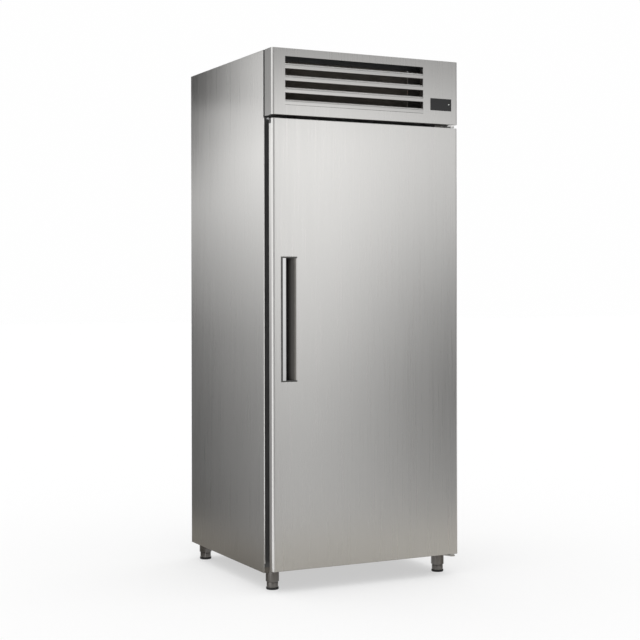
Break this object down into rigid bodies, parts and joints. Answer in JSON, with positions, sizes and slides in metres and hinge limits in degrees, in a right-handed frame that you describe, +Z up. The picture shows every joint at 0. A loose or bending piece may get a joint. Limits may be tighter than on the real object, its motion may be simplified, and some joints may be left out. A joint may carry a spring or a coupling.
{
  "type": "upright freezer",
  "caption": "Free-standing upright cabinet with one hinged insulated door, a recessed handle, a louvred header, short screw feet and a refrigeration unit on top.",
  "frame": {"origin": "on the floor, under the middle of the cabinet's overall box", "axes": "+X to the hinge side, to the right as seen from the front, -Y the way the door faces, +Z up"},
  "size_m": [0.8, 0.8, 2],
  "materials": {
    "side_panels": "brushed",
    "rear_sheet": "galvanised",
    "base_sheet": "brushed",
    "deck_sheet": "galvanised",
    "frame_plastic": "satin",
    "liner_steel": "brushed",
    "foam": "matt foam",
    "header_frame": "satin",
    "seal_rubber": "matt",
    "header_steel": "brushed",
    "louvre_steel": "brushed",
    "screw_steel": "bright",
    "controller_plastic": "satin",
    "controller_window": "gloss",
    "hinge_steel": "satin",
    "pin_steel": "bright",
    "door_steel": "brushed",
    "door_trim": "satin",
    "bush_nylon": "satin",
    "inner_panel": "brushed",
    "gasket_rubber": "matt",
    "grip_steel": "bright",
    "leg_steel": "satin",
    "foot_steel": "satin",
    "pad_rubber": "matt",
    "rack_steel": "satin",
    "shelf_wire": "plastic coated",
    "evaporator_plastic": "satin",
    "coil_aluminium": "bare",
    "fan_plastic": "satin",
    "motor_paint": "satin",
    "guard_wire": "bright",
    "tray_sheet": "galvanised",
    "condenser_paint": "matt black",
    "shroud_sheet": "matt black",
    "compressor_paint": "gloss black",
    "grommet_rubber": "matt",
    "copper": "bare copper",
    "box_plastic": "matt",
    "gland_plastic": "matt"
  },
  "bodies": {
    "cabinet": {"left_side_panel": "side_panels", "right_side_panel": "side_panels", "rear_panel": "rear_sheet", "base_panel": "base_sheet", "roof_deck": "deck_sheet", "front_frame": "frame_plastic", "inner_liner": "liner_steel", "cabinet_foam": "foam", "header_frame": "header_frame", "header_seals": "seal_rubber", "header_panel": "header_steel", "header_screws": "screw_steel", "louvre_blades": "louvre_steel", "louvre_end_plates": "louvre_steel", "controller_body": "controller_plastic", "controller_window": "controller_window", "hinge_brackets": "hinge_steel", "hinge_pins": "pin_steel", "hinge_screws": "screw_steel", "leg_tubes": "leg_steel", "rack_posts": "rack_steel", "shelf_runners": "rack_steel", "wire_shelves": "shelf_wire", "evaporator_cover": "evaporator_plastic", "evaporator_coil": "coil_aluminium", "evaporator_fan_motor": "motor_paint", "fan_guard": "guard_wire", "unit_tray": "tray_sheet", "condenser_coil": "condenser_paint", "condenser_tubes": "copper", "fan_shroud": "shroud_sheet", "condenser_fan_motor": "motor_paint", "compressor_shell": "compressor_paint", "compressor_base": "tray_sheet", "compressor_grommets": "grommet_rubber", "terminal_cover": "gland_plastic", "refrigerant_pipes": "copper", "filter_drier": "copper", "electrical_box": "box_plastic", "cable_gland": "gland_plastic"},
    "door": {"door_skin": "door_steel", "door_foam": "foam", "door_end_caps": "door_trim", "hinge_bushes": "bush_nylon", "door_edge_frame": "door_trim", "door_inner_panel": "inner_panel", "door_gasket": "gasket_rubber", "handle_tray": "door_trim", "handle_grip": "grip_steel"},
    "condenser_fan": {"condenser_fan_blades": "fan_plastic"},
    "evaporator_fan": {"evaporator_fan_blades": "fan_plastic"},
    "foot_front_left": {"foot_front_left": "foot_steel", "pad_front_left": "pad_rubber"},
    "foot_front_right": {"foot_front_right": "foot_steel", "pad_front_right": "pad_rubber"},
    "foot_rear_left": {"foot_rear_left": "foot_steel", "pad_rear_left": "pad_rubber"},
    "foot_rear_right": {"foot_rear_right": "foot_steel", "pad_rear_right": "pad_rubber"}
  },
  "joints": [
    {"name": "door_hinge", "type": "hinge", "parent": "cabinet", "child": "door", "pos_m": [0.378, -0.386, 0.911], "axis": [0, 0, 1], "range_deg": [0, 120]},
    {"name": "condenser_fan_spin", "type": "hinge", "parent": "cabinet", "child": "condenser_fan", "pos_m": [-0.05, -0.214, 1.8695], "axis": [0, 1, 0], "continuous": true},
    {"name": "evaporator_fan_spin", "type": "hinge", "parent": "cabinet", "child": "evaporator_fan", "pos_m": [0, 0.145, 1.591], "axis": [0, 0, 1], "continuous": true},
    {"name": "foot_front_left_screw", "type": "slide", "parent": "cabinet", "child": "foot_front_left", "axis": [0, 0, -1], "range_m": [0, 0.02]},
    {"name": "foot_front_right_screw", "type": "slide", "parent": "cabinet", "child": "foot_front_right", "axis": [0, 0, -1], "range_m": [0, 0.02]},
    {"name": "foot_rear_left_screw", "type": "slide", "parent": "cabinet", "child": "foot_rear_left", "axis": [0, 0, -1], "range_m": [0, 0.02]},
    {"name": "foot_rear_right_screw", "type": "slide", "parent": "cabinet", "child": "foot_rear_right", "axis": [0, 0, -1], "range_m": [0, 0.02]}
  ]
}
